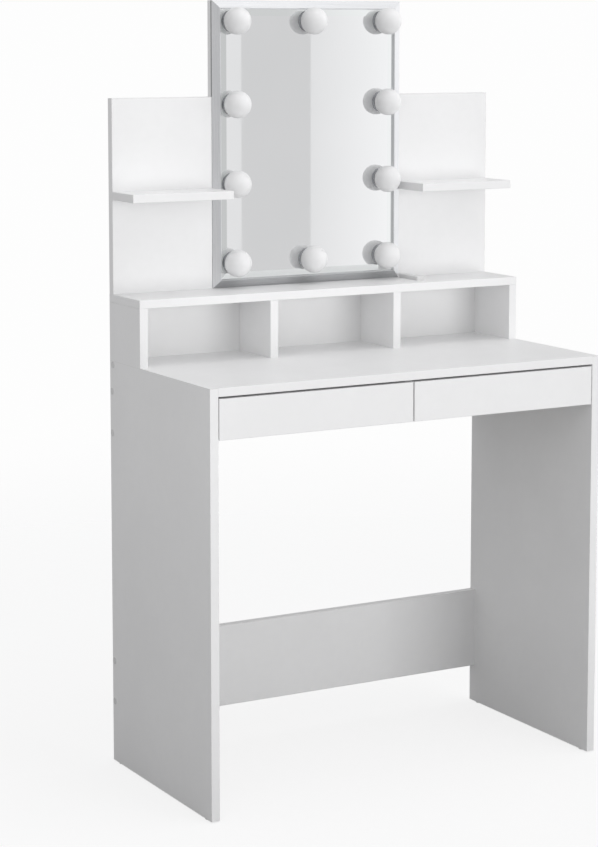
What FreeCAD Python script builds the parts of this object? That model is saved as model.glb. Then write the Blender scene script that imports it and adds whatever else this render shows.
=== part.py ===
import FreeCAD, Part
import os, math
from FreeCAD import Vector as V

# Dressing table with two drawers, an open three-bay organizer, a lit
# mirror on a backboard and two side shelves.  Millimetres, +Z up, front
# faces -Y, origin on the floor under the middle of the table.

# ---------------------------------------------------------------- sizes
W = 800.0            # overall width
D = 392.0            # overall depth
PT = 16.0            # thickness of upright panels
DT = 15.0            # thickness of horizontal boards
H_DESK = 744.0       # desk surface
ORG_DEPTH = 125.0    # organizer depth, measured from the rear
ORG_OPEN = 105.0     # clear height of the organizer bays
H_BACK = 1214.0      # top of the side backboards
H_TOP = 1388.0       # top of the mirror
MIR_W = 400.0        # width of the mirror board
FOOT = 2.0           # glide height under the side panels
RAIL_LO = (75.0, 229.0)
RAIL_HI = (597.0, H_DESK - DT)
SHELF_Z = (1033.0, 1048.0)
SHELF_D = 86.0       # shelf depth in front of the backboards
EDGE_R = 0.8         # edge-band rounding

FRONT_Z = (655.5, 725.5)   # drawer fronts
SIDE_GAP = 1.6             # drawer front to side panel
MID_GAP = 3.0              # between the two drawer fronts
BOX_T = 12.0               # drawer side thickness
BOX_Z = (668.0, 716.0)
BOX_END = 150.0            # rear of the drawer box
RUN_W = 12.5               # space taken by one runner
ROLLER_R = 9.5
TRAVEL = 250.0

LAMP_R = 25.0        # globe radius
LAMP_X = 160.0       # side columns
LAMP_Z = (910.0, 1055.0, 1200.0, 1351.0)
GLOBE_Y = 154.0      # globe centre
GLASS_Y = 176.0      # mirror surface
BASE_R = 20.0
FRAME_W = 15.0       # mirror frame strip width
FRAME_H = 8.0        # frame crest in front of the board

X0, X1 = -W / 2, W / 2
Y0, Y1 = -D / 2, D / 2
XI = X1 - PT                 # inner face of the right side panel
YB = Y1 - PT                 # front face of backboards and rails (180)
YO = Y1 - ORG_DEPTH          # organizer front (71)
Z_SIDE = H_DESK + ORG_OPEN   # top of side panels (849)
H_ORG = Z_SIDE + DT          # organizer top surface (864)
Z_UNDER = H_DESK - DT        # underside of the desk top (729)
XM = MIR_W / 2
BACK_Y = (190.0, 193.0)      # organizer back sheet

parts = {}


# ---------------------------------------------------------------- helpers
def box(x0, x1, y0, y1, z0, z1):
    return Part.makeBox(x1 - x0, y1 - y0, z1 - z0, V(x0, y0, z0))


def cyl(p, d, r, h):
    return Part.makeCylinder(r, h, V(*p), V(*d))


def rounded(shape, pick, r=EDGE_R):
    """Round the straight edges whose midpoint passes pick(mid, direction)."""
    es = []
    for e in shape.Edges:
        a, b = e.Vertexes[0].Point, e.Vertexes[-1].Point
        m = (a + b) * 0.5
        d = (b - a)
        if d.Length < 1e-6:
            continue
        d.normalize()
        if pick(m, d):
            es.append(e)
    return shape.makeFillet(r, es) if es else shape


def near(a, b, tol=0.01):
    return abs(a - b) < tol


def fuse(*s):
    out = s[0]
    for k in s[1:]:
        out = out.fuse(k)
    return out.removeSplitter()


def mirror_x(s):
    return s.mirror(V(0, 0, 0), V(1, 0, 0))


def put(name, *solids):
    sol = []
    for s in solids:
        sol += s.Solids
    for s in sol:
        if not s.isValid() or s.Volume <= 0:
            raise RuntimeError("bad solid in " + name)
    parts[name] = Part.makeCompound(sol) if len(sol) > 1 else sol[0]


# ---------------------------------------------------------------- fasteners
cuts = {}          # node -> list of cutting shapes


def cut_in(node, shape):
    cuts.setdefault(node, []).append(shape)


confirmats, caps, dowels, cam_discs, cam_bolts, runner_screws, glides = [], [], [], [], [], [], []


def confirmat(p, d, first, second, first_t, length=50.0, cap=False, sink=1.0):
    """One-piece connecting screw.  p is on the outer face of the first
    board, d points into the wood."""
    p = V(*p)
    d = V(*d)
    q = p + d * sink
    head = Part.makeCone(5.0, 3.5, 3.2, q, d)
    neck = Part.makeCylinder(3.5, first_t - sink - 3.2, q + d * 3.2, d)
    tip_l = length - (first_t - sink)
    shank = Part.makeCylinder(2.5, tip_l - 4, p + d * first_t, d)
    tip = Part.makeCone(2.5, 0.8, 4, p + d * (first_t + tip_l - 4), d)
    s = fuse(head, neck, shank, tip)
    sock = Part.makeCylinder(2.0, 2.4, q, d)
    s = s.cut(sock)
    confirmats.append(s)
    hole1 = fuse(Part.makeCylinder(5.15, sink + 0.4, p, d),
                 Part.makeCone(5.15, 3.65, 3.2, p + d * (sink + 0.4), d),
                 Part.makeCylinder(3.65, first_t, p, d))
    cut_in(first, hole1)
    cut_in(second, Part.makeCylinder(2.62, tip_l + 1.0, p + d * first_t, d))
    if cap:
        disc = Part.makeCylinder(6.2, 0.8, p - d * 0.8, d)
        disc = disc.makeFillet(0.5, [e for e in disc.Edges
                                     if e.Curve.TypeId == 'Part::GeomCircle'
                                     and (e.CenterOfMass - (p - d * 0.8)).Length < 0.05])
        plug = Part.makeCylinder(1.7, 1.0 + sink, p - d * 0.1, d)
        caps.append(fuse(disc, plug))


def dowel(p, d, first, second, l1=10.0, l2=19.0):
    """Fluted-type wooden dowel: p is on the joint face, l1 behind it and
    l2 in front along d."""
    p = V(*p)
    d = V(*d)
    s = Part.makeCylinder(4.0, l1 + l2, p - d * l1, d)
    s = s.makeChamfer(0.8, [e for e in s.Edges if e.Curve.TypeId == 'Part::GeomCircle'])
    dowels.append(s)
    cut_in(first, Part.makeCylinder(4.1, l1 + 0.6, p - d * (l1 + 0.6), d))
    cut_in(second, Part.makeCylinder(4.1, l2 + 0.6, p, d))


# side panels to rails and to the rear of the desk top
for sx, panel in ((-1, "left_side_panel"), (1, "right_side_panel")):
    for z in (114.0, 190.0):
        confirmat((sx * W / 2, YB + PT / 2, z), (-sx, 0, 0), panel, "lower_rear_rail", PT, cap=True)
    for z in (612.0, 688.0):
        confirmat((sx * W / 2, YB + PT / 2, z), (-sx, 0, 0), panel, "upper_rear_rail", PT, cap=True)
    confirmat((sx * W / 2, YB + PT / 2 - 4, H_DESK - DT / 2), (-sx, 0, 0), panel, "desk_top", PT, cap=True)
    # hidden cam joint and dowels near the front of the desk top
    zc = H_DESK - DT / 2
    yc = -150.0
    xd = sx * (XI - 34.0)
    disc = cyl((xd, yc, Z_UNDER), (0, 0, 1), 7.5, 11.0)
    slot = cyl((xd, yc, zc), (sx, 0, 0), 3.9, 9.0)
    hexs = box(xd - 3.2, xd + 3.2, yc - 0.8, yc + 0.8, Z_UNDER, Z_UNDER + 2.0)
    hexs = hexs.fuse(box(xd - 0.8, xd + 0.8, yc - 3.2, yc + 3.2, Z_UNDER, Z_UNDER + 2.0))
    cam_discs.append(disc.cut(slot).cut(hexs))
    cut_in("desk_top", cyl((xd, yc, Z_UNDER - 0.5), (0, 0, 1), 7.65, 11.8))
    cut_in("desk_top", cyl((xd, yc, zc), (sx, 0, 0), 3.8, 40.0))
    # the cam bolt: thread in the panel, collar, shank and head in the cam
    xf = sx * XI
    thr = cyl((xf + sx * 10.0, yc, zc), (-sx, 0, 0), 2.8, 10.0)
    col = cyl((xf, yc, zc), (-sx, 0, 0), 3.4, 2.0)
    shk = cyl((xf, yc, zc), (-sx, 0, 0), 2.2, 29.0)
    hd = cyl((xf - sx * 29.0, yc, zc), (-sx, 0, 0), 3.4, 2.6)
    cam_bolts.append(fuse(thr, col, shk, hd))
    cut_in(panel, cyl((xf, yc, zc), (sx, 0, 0), 2.95, 10.6))
    for y in (-95.0, 55.0):
        dowel((xf, y, zc), (-sx, 0, 0), panel, "desk_top", 9.0, 20.0)
    # organizer top onto the side panel
    confirmat((sx * (W / 2 - PT / 2), YB + PT / 2, H_ORG), (0, 0, -1), "organizer_top", panel, DT)
    dowel((sx * (W / 2 - PT / 2), 92.0, Z_SIDE), (0, 0, -1), "organizer_top", panel, 9.0, 20.0)

BAY = (2 * XI - 2 * PT) / 3.0
DIV_X = (XI - BAY - PT / 2)          # divider centre
for sx, div in ((-1, "organizer_divider_left"), (1, "organizer_divider_right")):
    x = sx * DIV_X
    confirmat((x, 184.5, H_ORG), (0, 0, -1), "organizer_top", div, DT)
    dowel((x, 92.0, Z_SIDE), (0, 0, -1), "organizer_top", div, 9.0, 20.0)
    for y in (95.0, 165.0):
        dowel((x, y, H_DESK), (0, 0, 1), "desk_top", div, 9.0, 20.0)

# boards standing on the organizer top, screwed from underneath
for x, node in ((-368.0, "back_board_left"), (-232.0, "back_board_left"),
                (-95.0, "mirror_board"), (95.0, "mirror_board"),
                (232.0, "back_board_right"), (368.0, "back_board_right")):
    confirmat((x, 184.6, Z_SIDE), (0, 0, 1), "organizer_top", node, DT)
for x, node in ((-300.0, "back_board_left"), (-60.0, "mirror_board"),
                (60.0, "mirror_board"), (300.0, "back_board_right")):
    dowel((x, YB + PT / 2, H_ORG), (0, 0, 1), "organizer_top", node, 9.0, 20.0)
for sx, node in ((-1, "back_board_left"), (1, "back_board_right")):
    for z in (935.0, 1150.0):
        dowel((sx * (XM + 0.25), YB + PT / 2, z), (sx, 0, 0), "mirror_board", node, 14.0, 15.0)
    for x in (238.0, 362.0):
        confirmat((sx * x, Y1, SHELF_Z[0] + DT / 2), (0, -1, 0), node,
                  "shelf_left" if sx < 0 else "shelf_right", PT)
# drawer partition
for z in (672.0, 712.0):
    confirmat((0, Y1, z), (0, -1, 0), "upper_rear_rail", "drawer_partition", PT)
for y in (-140.0, 20.0):
    dowel((0, y, Z_UNDER), (0, 0, -1), "desk_top", "drawer_partition", 9.0, 20.0)

# glides under the side panels
for sx, panel in ((-1, "left_side_panel"), (1, "right_side_panel")):
    for y in (Y0 + 24.0, Y1 - 24.0):
        x = sx * (W / 2 - PT / 2)
        pad = cyl((x, y, 0), (0, 0, 1), 7.4, FOOT)
        pad = pad.makeFillet(0.7, [e for e in pad.Edges if e.Curve.TypeId == 'Part::GeomCircle'
                                   and near(e.CenterOfMass.z, 0)])
        nail = cyl((x, y, FOOT), (0, 0, 1), 1.0, 11.0)
        tip = Part.makeCone(1.0, 0.2, 3.0, V(x, y, FOOT + 11.0), V(0, 0, 1))
        glides.append(fuse(pad, nail, tip))
        cut_in(panel, cyl((x, y, FOOT), (0, 0, 1), 1.08, 14.6))


# ---------------------------------------------------------------- carcass
def side_panel(sx):
    pts = [(Y0, FOOT), (Y1, FOOT), (Y1, Z_SIDE), (YO, Z_SIDE), (YO, H_DESK), (Y0, H_DESK)]
    w = Part.makePolygon([V(X0, y, z) for y, z in pts] + [V(X0, pts[0][0], pts[0][1])])
    s = Part.Face(w).extrude(V(PT, 0, 0))
    s = rounded(s, lambda m, d: (abs(d.z) > .9 and (near(m.y, Y0) or (near(m.y, YO) and m.z > H_DESK)))
                or (abs(d.y) > .9 and near(m.z, H_DESK) and near(m.x, X0)))
    # groove for the organizer back sheet
    s = s.cut(box(X0 + PT - 5.2, X0 + PT + 1, BACK_Y[0] - 0.15, BACK_Y[1] + 0.15,
                  H_DESK - 5.2, Z_SIDE + 1))
    return s if sx < 0 else mirror_x(s)


shapes = {}
shapes["left_side_panel"] = side_panel(-1)
shapes["right_side_panel"] = side_panel(1)
desk = rounded(box(-XI, XI, Y0, Y1, Z_UNDER, H_DESK),
               lambda m, d: abs(d.x) > .9 and near(m.y, Y0))
desk = desk.cut(box(-XI - 1, XI + 1, BACK_Y[0] - 0.15, BACK_Y[1] + 0.15, H_DESK - 5.2, H_DESK + 1))
shapes["desk_top"] = desk
otop = rounded(box(X0, X1, YO, Y1, Z_SIDE, H_ORG),
               lambda m, d: (abs(d.x) > .9 and near(m.y, YO)) or
               (abs(d.y) > .9) or (abs(d.z) > .9 and near(m.y, YO)))
otop = otop.cut(box(-XI, XI, BACK_Y[0] - 0.15, BACK_Y[1] + 0.15, Z_SIDE - 1, Z_SIDE + 5.2))
shapes["organizer_top"] = otop
for sx, n in ((-1, "organizer_divider_left"), (1, "organizer_divider_right")):
    x = sx * DIV_X
    shapes[n] = rounded(box(x - PT / 2, x + PT / 2, YO, BACK_Y[0] - 0.2, H_DESK, Z_SIDE),
                        lambda m, d: abs(d.z) > .9 and near(m.y, YO))
shapes["organizer_back"] = box(-XI - 5.0, XI + 5.0, BACK_Y[0], BACK_Y[1], H_DESK - 5.0, Z_SIDE + 5.0)
# the sheet's top corners stop at the end of the top board's groove
for sx in (-1, 1):
    xa, xb = sorted((sx * XI, sx * (XI + 6)))
    shapes["organizer_back"] = shapes["organizer_back"].cut(
        box(xa, xb, 180, 200, Z_SIDE - 0.2, Z_SIDE + 6))
    shapes["organizer_back"] = shapes["organizer_back"].cut(
        box(xa, xb, 180, 200, H_DESK - 6, H_DESK - 4.9))
for n, (za, zb) in (("lower_rear_rail", RAIL_LO), ("upper_rear_rail", RAIL_HI)):
    shapes[n] = rounded(box(-XI, XI, YB, Y1, za, zb),
                        lambda m, d: abs(d.x) > .9 and (near(m.z, za) or (near(m.z, zb) and n[0] == "l")))
# two clearance holes for wall screws in the upper rail
WALL_X = 300.0
WALL_Z = 640.0
WALL_R = 2.75
for sx in (-1, 1):
    cut_in("upper_rear_rail", cyl((sx * WALL_X, YB - 1, WALL_Z), (0, 1, 0), WALL_R, PT + 2))
shapes["drawer_partition"] = rounded(box(-PT / 2, PT / 2, -178.0, YB, 659.0, Z_UNDER),
                                     lambda m, d: abs(d.z) > .9 and near(m.y, -178.0))
for sx, n in ((-1, "back_board_left"), (1, "back_board_right")):
    xa, xb = sorted((sx * (XM + 0.25), sx * W / 2))
    shapes[n] = rounded(box(xa, xb, YB, Y1, H_ORG, H_BACK),
                        lambda m, d: (abs(d.x) > .9 and near(m.z, H_BACK)) or
                        (abs(d.z) > .9 and near(abs(m.x), W / 2)))
for sx, n in ((-1, "shelf_left"), (1, "shelf_right")):
    xa, xb = sorted((sx * (XM + 0.5), sx * W / 2))
    shapes[n] = rounded(box(xa, xb, YB - SHELF_D, YB, *SHELF_Z),
                        lambda m, d: (abs(d.x) > .9 and near(m.y, YB - SHELF_D)) or
                        (abs(d.y) > .9) or (abs(d.z) > .9 and near(m.y, YB - SHELF_D)))
mb = rounded(box(-XM, XM, YB, Y1, H_ORG, H_TOP),
             lambda m, d: (abs(d.x) > .9 and near(m.z, H_TOP) and near(m.y, Y1)) or
             (abs(d.z) > .9 and near(m.y, Y1)))
shapes["mirror_board"] = mb

# ---------------------------------------------------------------- mirror
# frame strip section, measured from the outer edge (d) and from the
# board face (h): slim outer lip, sloping face, crest, lip on the glass
section = [(0.0, 0.0), (0.0, 1.3), (13.4, FRAME_H), (FRAME_W, FRAME_H), (FRAME_W, 3.1),
           (12.6, 3.1), (12.6, 0.0)]


def strip(side):
    """One mitred frame strip around the rectangle of the mirror."""
    zc = (H_ORG + H_TOP) / 2
    hw, hh = XM, (H_TOP - H_ORG) / 2
    L = 2 * (hw if side in ("top", "bottom") else hh)
    half = hw if side in ("left", "right") else hh
    # build for the top side in local axes, then turn about the Y axis
    w = Part.makePolygon([V(-L / 2, YB - h, half - d) for d, h in section] +
                         [V(-L / 2, YB - section[0][1], half - section[0][0])])
    s = Part.Face(w).extrude(V(L, 0, 0))
    for k in (-1, 1):
        c = V(k * L / 2, 0, half)
        # half-plane beyond the 45 degree mitre
        tri = Part.makePolygon([V(c.x - k * 0.05, 100, c.z + 0.0), V(c.x + k * 30, 100, c.z + 0.0),
                                V(c.x + k * 30, 100, c.z - 30.0), V(c.x - k * 30.05, 100, c.z - 30.0),
                                V(c.x - k * 0.05, 100, c.z + 0.0)])
        s = s.cut(Part.Face(tri).extrude(V(0, 150, 0)))
    ang = {"top": 0, "right": 90, "bottom": 180, "left": 270}[side]
    s = s.copy()
    s.rotate(V(0, 0, 0), V(0, 1, 0), ang)
    s.translate(V(0, 0, zc))
    return s


for side in ("left", "right", "top", "bottom"):
    shapes["mirror_frame_" + side] = strip(side)

gx = XM - 12.8
gz0, gz1 = H_ORG + 12.8, H_TOP - 12.8
GT = YB - GLASS_Y          # glass thickness (4)
BEV = 13.0                 # bevelled border width from the frame lip
xb0 = XM - FRAME_W - BEV
zb0, zb1 = H_ORG + FRAME_W + BEV, H_TOP - FRAME_W - BEV
# slab with a shallow ground bevel around its face
lower = box(-gx, gx, GLASS_Y + 1.2, YB, gz0, gz1)
w1 = Part.makePolygon([V(-gx, GLASS_Y + 1.2, gz0), V(gx, GLASS_Y + 1.2, gz0), V(gx, GLASS_Y + 1.2, gz1),
                       V(-gx, GLASS_Y + 1.2, gz1), V(-gx, GLASS_Y + 1.2, gz0)])
w2 = Part.makePolygon([V(-xb0, GLASS_Y, zb0), V(xb0, GLASS_Y, zb0), V(xb0, GLASS_Y, zb1),
                       V(-xb0, GLASS_Y, zb1), V(-xb0, GLASS_Y, zb0)])
upper = Part.makeLoft([w1, w2], True, True)
shapes["mirror_glass"] = fuse(lower, upper)

# ---------------------------------------------------------------- lamps
lamps = [(-LAMP_X, z) for z in LAMP_Z] + [(LAMP_X, z) for z in LAMP_Z] + \
        [(0.0, LAMP_Z[0]), (0.0, LAMP_Z[-1])]
SEAT_Y = 172.0             # where the globe meets its base
bases, globes, leds, stems, nuts = [], [], [], [], []
for x, z in lamps:
    # base: low cup with a rounded rim, standing on the glass
    b = cyl((x, GLASS_Y, z), (0, -1, 0), BASE_R, GLASS_Y - SEAT_Y)
    b = b.makeFillet(0.8, [e for e in b.Edges if e.Curve.TypeId == 'Part::GeomCircle'
                           and near(e.CenterOfMass.y, SEAT_Y)])
    b = b.cut(cyl((x, GLASS_Y + 1, z), (0, -1, 0), 4.1, 10)).cut(
        cyl((x, SEAT_Y + 1.05, z), (0, -1, 0), 7.2, 5))
    bases.append(b)
    # globe: frosted shell, open at the neck
    o = Part.makeSphere(LAMP_R, V(x, GLOBE_Y, z))
    i = Part.makeSphere(LAMP_R - 1.5, V(x, GLOBE_Y, z))
    g = o.cut(i).cut(box(x - 30, x + 30, SEAT_Y, SEAT_Y + 20, z - 30, z + 30))
    globes.append(g)
    # stem: flanged hollow tube through base, glass and board
    st = fuse(cyl((x, SEAT_Y, z), (0, 1, 0), 7.0, 1.0), cyl((x, SEAT_Y, z), (0, 1, 0), 4.0, 21.0))
    st = st.cut(cyl((x, SEAT_Y - 1, z), (0, 1, 0), 2.4, 30.0))
    stems.append(st)
    # light board over the flange
    led = cyl((x, SEAT_Y - 1.6, z), (0, 1, 0), 12.0, 1.6)
    led_s = led
    for k in range(6):
        a = math.radians(60 * k)
        led_s = led_s.fuse(box(x + 7.5 * math.cos(a) - 1.4, x + 7.5 * math.cos(a) + 1.4,
                               SEAT_Y - 2.4, SEAT_Y - 1.6,
                               z + 7.5 * math.sin(a) - 1.75, z + 7.5 * math.sin(a) + 1.75))
    leds.append(led_s.removeSplitter())
    # hex nut in the rear pocket
    pts = [V(x + 7.5 * math.cos(math.radians(60 * k)), 190.0, z + 7.5 * math.sin(math.radians(60 * k)))
           for k in range(6)]
    nut = Part.Face(Part.makePolygon(pts + [pts[0]])).extrude(V(0, 2.8, 0))
    nuts.append(nut.cut(cyl((x, 180, z), (0, 1, 0), 4.06, 30)))
    cut_in("mirror_glass", cyl((x, 170, z), (0, 1, 0), 4.2, 12))
    cut_in("mirror_board", cyl((x, 178, z), (0, 1, 0), 4.2, 20))
    cut_in("mirror_board", cyl((x, 190.0, z), (0, 1, 0), 11.0, 10))

# ---------------------------------------------------------------- wiring
# one lead loom runs in a channel milled into the rear of the board, from
# the dimmer up the right column, across the top, down the left column and
# along the bottom to the middle lamp; a short branch goes to each stem.
WIRE_R = 1.5
WY = 192.0
CX = LAMP_X - 16.0
ZT = LAMP_Z[-1] - 16.0
ZL = LAMP_Z[0] + 16.0
DIM_X = (196.5, 214.5)
DIM_Y = (106.0, 171.0)
DIM_Z = (H_ORG, H_ORG + 7.0)
LEAD_X = 206.0
LEAD_Z = H_ORG + 4.6


def tube(points, r, bend):
    """Round tube along straight runs joined by tangent arcs."""
    P = [V(*p) for p in points]
    edges = []
    a = P[0]
    for k in range(1, len(P) - 1):
        u = (P[k - 1] - P[k]).normalize()
        v = (P[k + 1] - P[k]).normalize()
        ang = math.acos(max(-1, min(1, u.dot(v))))
        t = bend[k - 1] / math.tan(ang / 2)
        p1 = P[k] + u * t
        p2 = P[k] + v * t
        bis = (u + v).normalize()
        c = P[k] + bis * (bend[k - 1] / math.sin(ang / 2))
        mid = c - bis * bend[k - 1]
        if (p1 - a).Length > 1e-6:
            edges.append(Part.LineSegment(a, p1).toShape())
        edges.append(Part.Arc(p1, mid, p2).toShape())
        a = p2
    edges.append(Part.LineSegment(a, P[-1]).toShape())
    path = Part.Wire(edges)
    d = (P[1] - P[0]).normalize()
    prof = Part.Wire([Part.Circle(P[0], d, r).toShape()])
    s = path.makePipeShell([prof], True, False)
    if s.Volume < 0:
        s = s.reversed()
    want = math.pi * r * r * path.Length
    if abs(s.Volume - want) > 0.01 * want:
        raise RuntimeError("tube volume is off")
    return s, path.Length


loom_pts = [(LEAD_X, DIM_Y[1], LEAD_Z), (LEAD_X, WY, LEAD_Z), (CX, WY, LEAD_Z),
            (CX, WY, ZT), (-CX, WY, ZT), (-CX, WY, ZL), (0.0, WY, ZL)]
loom_r = [7.0, 10.0, 12.0, 12.0, 12.0]
loom, loom_len = tube(loom_pts, WIRE_R, loom_r)
print("loom length mm", round(loom_len, 1), "bend radii mm", loom_r)
branch = []
BRY = WY + 2.2             # branches pass over the nuts
for x, z in lamps:
    if abs(x) > 1:
        # the corner lamps meet the straight column beside them
        zz = min(max(z, ZL + 14.0), ZT - 14.0) if not (x > 0 and z == LAMP_Z[0]) else z
        s = 1 if x > 0 else -1
        b = V(s * CX, BRY, zz)
    else:
        b = V(x, BRY, ZT) if z == LAMP_Z[-1] else V(x - 3.0, BRY, ZL)
    a = V(x, BRY, z)
    d = b - a
    branch.append(Part.makeCylinder(0.9, d.Length, a, d))
    branch.append(Part.makeSphere(0.9, a))
    branch.append(Part.makeCylinder(0.9, BRY - 176.0, a, V(0, -1, 0)))
wiring = loom
for b in branch:
    wiring = wiring.fuse(b)
wiring = wiring.removeSplitter()

# channels in the boards' rear faces
CH = 3.0
ch = [box(CX - CH, CX + CH, 188.5, 197, H_ORG + 0.2, ZT + CH),
      box(-CX - CH, CX + CH, 188.5, 197, ZT - CH, ZT + CH),
      box(-CX - CH, -CX + CH, 188.5, 197, ZL - CH, ZT + CH),
      box(-CX - CH, CH, 188.5, 197, ZL - CH, ZL + CH),
      box(CX - CH, XM + 1, 188.5, 197, LEAD_Z - CH, LEAD_Z + CH)]
# wider pockets where the loom turns
for x, z, sx, sz in ((CX, ZT, -1, -1), (-CX, ZT, 1, -1), (-CX, ZL, 1, 1), (CX, LEAD_Z, 1, 1)):
    xa, xb = sorted((x - sx * CH, x + sx * 13.0))
    za, zb = sorted((z - sz * CH, z + sz * 13.0))
    ch.append(box(xa, xb, 188.5, 197, max(za, H_ORG + 0.2), zb))
ch.append(box(LEAD_X - 9.5, XM + 1, 183.0, 197, LEAD_Z - CH, LEAD_Z + CH))
for c in ch:
    cut_in("mirror_board", c)
cut_in("back_board_right", box(XM, LEAD_X + CH, 183.0, 197, LEAD_Z - CH, LEAD_Z + CH))
for x, z in lamps:
    s = 1 if x > 0 else -1
    if abs(x) > 1:
        zz = min(max(z, ZL + 14.0), ZT - 14.0) if not (x > 0 and z == LAMP_Z[0]) else z
        zlo, zhi = min(z, zz) - 3.0, max(z, zz) + 3.0
        xa, xb = sorted((s * CX, s * LAMP_X))
        cut_in("mirror_board", box(xa, xb, 188.5, 197, zlo, zhi))
    else:
        za, zb = (ZT, z) if z == LAMP_Z[-1] else (z, ZL)
        cut_in("mirror_board", box(x - 6.0, x + 3.0, 188.5, 197, za, zb))
cut_in("back_board_right", cyl((LEAD_X, YB - 1, LEAD_Z), (0, 1, 0), 2.2, 12))

# low-voltage inlet let into the rear face, next to the loom
INX, INZ = CX, 893.0
inlet = cyl((INX + 14.0, 182.5, INZ), (0, 1, 0), 5.5, 13.5)
inlet = inlet.cut(cyl((INX + 14.0, 186.0, INZ), (0, 1, 0), 2.85, 12))
inlet = inlet.fuse(cyl((INX + 14.0, 185.0, INZ), (0, 1, 0), 1.0, 9.5)).removeSplitter()
cut_in("mirror_board", cyl((INX + 14.0, 182.4, INZ), (0, 1, 0), 5.6, 15))
cut_in("mirror_board", box(INX, INX + 12.0, 188.5, 197, INZ - 2.5, INZ + 2.5))
il = V(INX + 8.4, WY, INZ) - V(INX, WY, INZ)
wiring = wiring.fuse(Part.makeCylinder(0.9, il.Length - 0.05, V(INX, WY, INZ), il)).removeSplitter()

# ---------------------------------------------------------------- dimmer
dx0, dx1 = DIM_X
dy0, dy1 = DIM_Y
dz0, dz1 = DIM_Z
vert = lambda m, d: abs(d.z) > .9
base = rounded(box(dx0, dx1, dy0, dy1, dz0, dz0 + 2.0), vert, 3.0)
base = base.cut(rounded(box(dx0 + 1.2, dx1 - 1.2, dy0 + 1.2, dy1 - 1.2, dz0 + 1.2, dz0 + 3), vert, 1.8))
for y in (dy0 + 10, dy1 - 10):
    base = base.fuse(box(dx0 + 1.4, dx1 - 1.4, y - 1, y + 1, dz0 + 1.0, dz0 + 2.2))
base = base.removeSplitter()
cover = rounded(box(dx0, dx1, dy0, dy1, dz0 + 2.0, dz1), vert, 3.0)
cover = rounded(cover, lambda m, d: near(m.z, dz1) and abs(d.z) < .1, 1.0)
cover = cover.cut(rounded(box(dx0 + 1.2, dx1 - 1.2, dy0 + 1.2, dy1 - 1.2, dz0 + 1.0, dz1 - 1.2), vert, 1.8))
BX, BY = (dx0 + dx1) / 2, dy0 + 17.0
cover = cover.cut(cyl((BX, BY, dz0 + 3), (0, 0, 1), 4.8, 10))
cover = cover.cut(cyl((LEAD_X, dy1 - 3, LEAD_Z), (0, 1, 0), 1.6, 10))
pcb = box(dx0 + 1.6, dx1 - 1.6, dy0 + 2.0, dy1 - 2.4, dz0 + 2.2, dz0 + 3.0)
pcb = pcb.fuse(box(BX - 3, BX + 3, BY - 3, BY + 3, dz0 + 3.0, dz0 + 3.4)).removeSplitter()
button = fuse(cyl((BX, BY, dz0 + 4.5), (0, 0, 1), 5.4, 0.8), cyl((BX, BY, dz0 + 4.5), (0, 0, 1), 4.5, 4.0))
button = button.makeFillet(0.9, [e for e in button.Edges if e.Curve.TypeId == 'Part::GeomCircle'
                                 and near(e.CenterOfMass.z, dz0 + 8.5)])

# ---------------------------------------------------------------- drawers
YF = Y0 + PT               # rear face of the decorative front (-180)
BX0 = -XI + RUN_W          # drawer box left outer face
BX1 = -PT / 2 - RUN_W      # drawer box right outer face
GR = (671.0, 674.0)        # bottom sheet
drawer_cuts = {}


def dcut(n, s):
    drawer_cuts.setdefault(n, []).append(s)


def dscrew(p, d, first, second, t, length=30.0):
    p = V(*p)
    d = V(*d)
    s = fuse(Part.makeCone(3.4, 1.75, 2.0, p, d), Part.makeCylinder(1.75, length - 5, p, d),
             Part.makeCone(1.75, 0.4, 3.0, p + d * (length - 5), d))
    s = s.cut(box(p.x - 2.2, p.x + 2.2, p.y - 2.2, p.y + 2.2, p.z - 0.4, p.z + 0.4).common(
        Part.makeCylinder(3.0, 1.2, p, d)))
    dcut(first, fuse(Part.makeCone(3.55, 1.9, 2.0, p, d), Part.makeCylinder(1.9, t, p, d)))
    dcut(second, Part.makeCylinder(1.85, length - t + 0.6, p + d * t, d))
    return s


fx0, fx1 = -XI + SIDE_GAP, -MID_GAP / 2
drw = {}
drw["front"] = rounded(box(fx0, fx1, Y0, YF, *FRONT_Z),
                       lambda m, d: near(m.y, Y0), 0.8)
drw["inner_front"] = box(BX0 + BOX_T, BX1 - BOX_T, YF, YF + BOX_T, *BOX_Z).cut(
    box(BX0, BX1, YF + BOX_T - 5.0, YF + BOX_T + 1, GR[0] - 0.1, GR[1] + 0.1))
for n, xa in (("side_left", BX0), ("side_right", BX1 - BOX_T)):
    s = rounded(box(xa, xa + BOX_T, YF, BOX_END, *BOX_Z),
                lambda m, d: abs(d.y) > .9 and near(m.z, BOX_Z[1]), 1.0)
    ga, gb = (xa + BOX_T - 5.0, xa + BOX_T + 1) if n == "side_left" else (xa - 1, xa + 5.0)
    drw[n] = s.cut(box(ga, gb, YF - 1, BOX_END + 1, GR[0] - 0.1, GR[1] + 0.1))
drw["back"] = box(BX0 + BOX_T, BX1 - BOX_T, BOX_END - BOX_T, BOX_END, GR[1] + 0.1, BOX_Z[1])
drw["bottom"] = box(BX0 + BOX_T - 4.8, BX1 - BOX_T + 4.8, YF + BOX_T - 4.8, BOX_END - 0.5, *GR)
dscrews = []
for z in (684.0, 704.0):
    for x, d, sn in ((BX0, 1, "side_left"), (BX1, -1, "side_right")):
        dscrews.append(dscrew((x, YF + BOX_T / 2, z), (d, 0, 0), sn, "inner_front", BOX_T))
        dscrews.append(dscrew((x, BOX_END - BOX_T / 2, z), (d, 0, 0), sn, "back", BOX_T))
for x in (BX0 + 60, BX1 - 60):
    s = dscrew((x, YF + BOX_T, 694.0), (0, -1, 0), "inner_front", "front", BOX_T, 24.0)
    dscrews.append(s)

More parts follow.
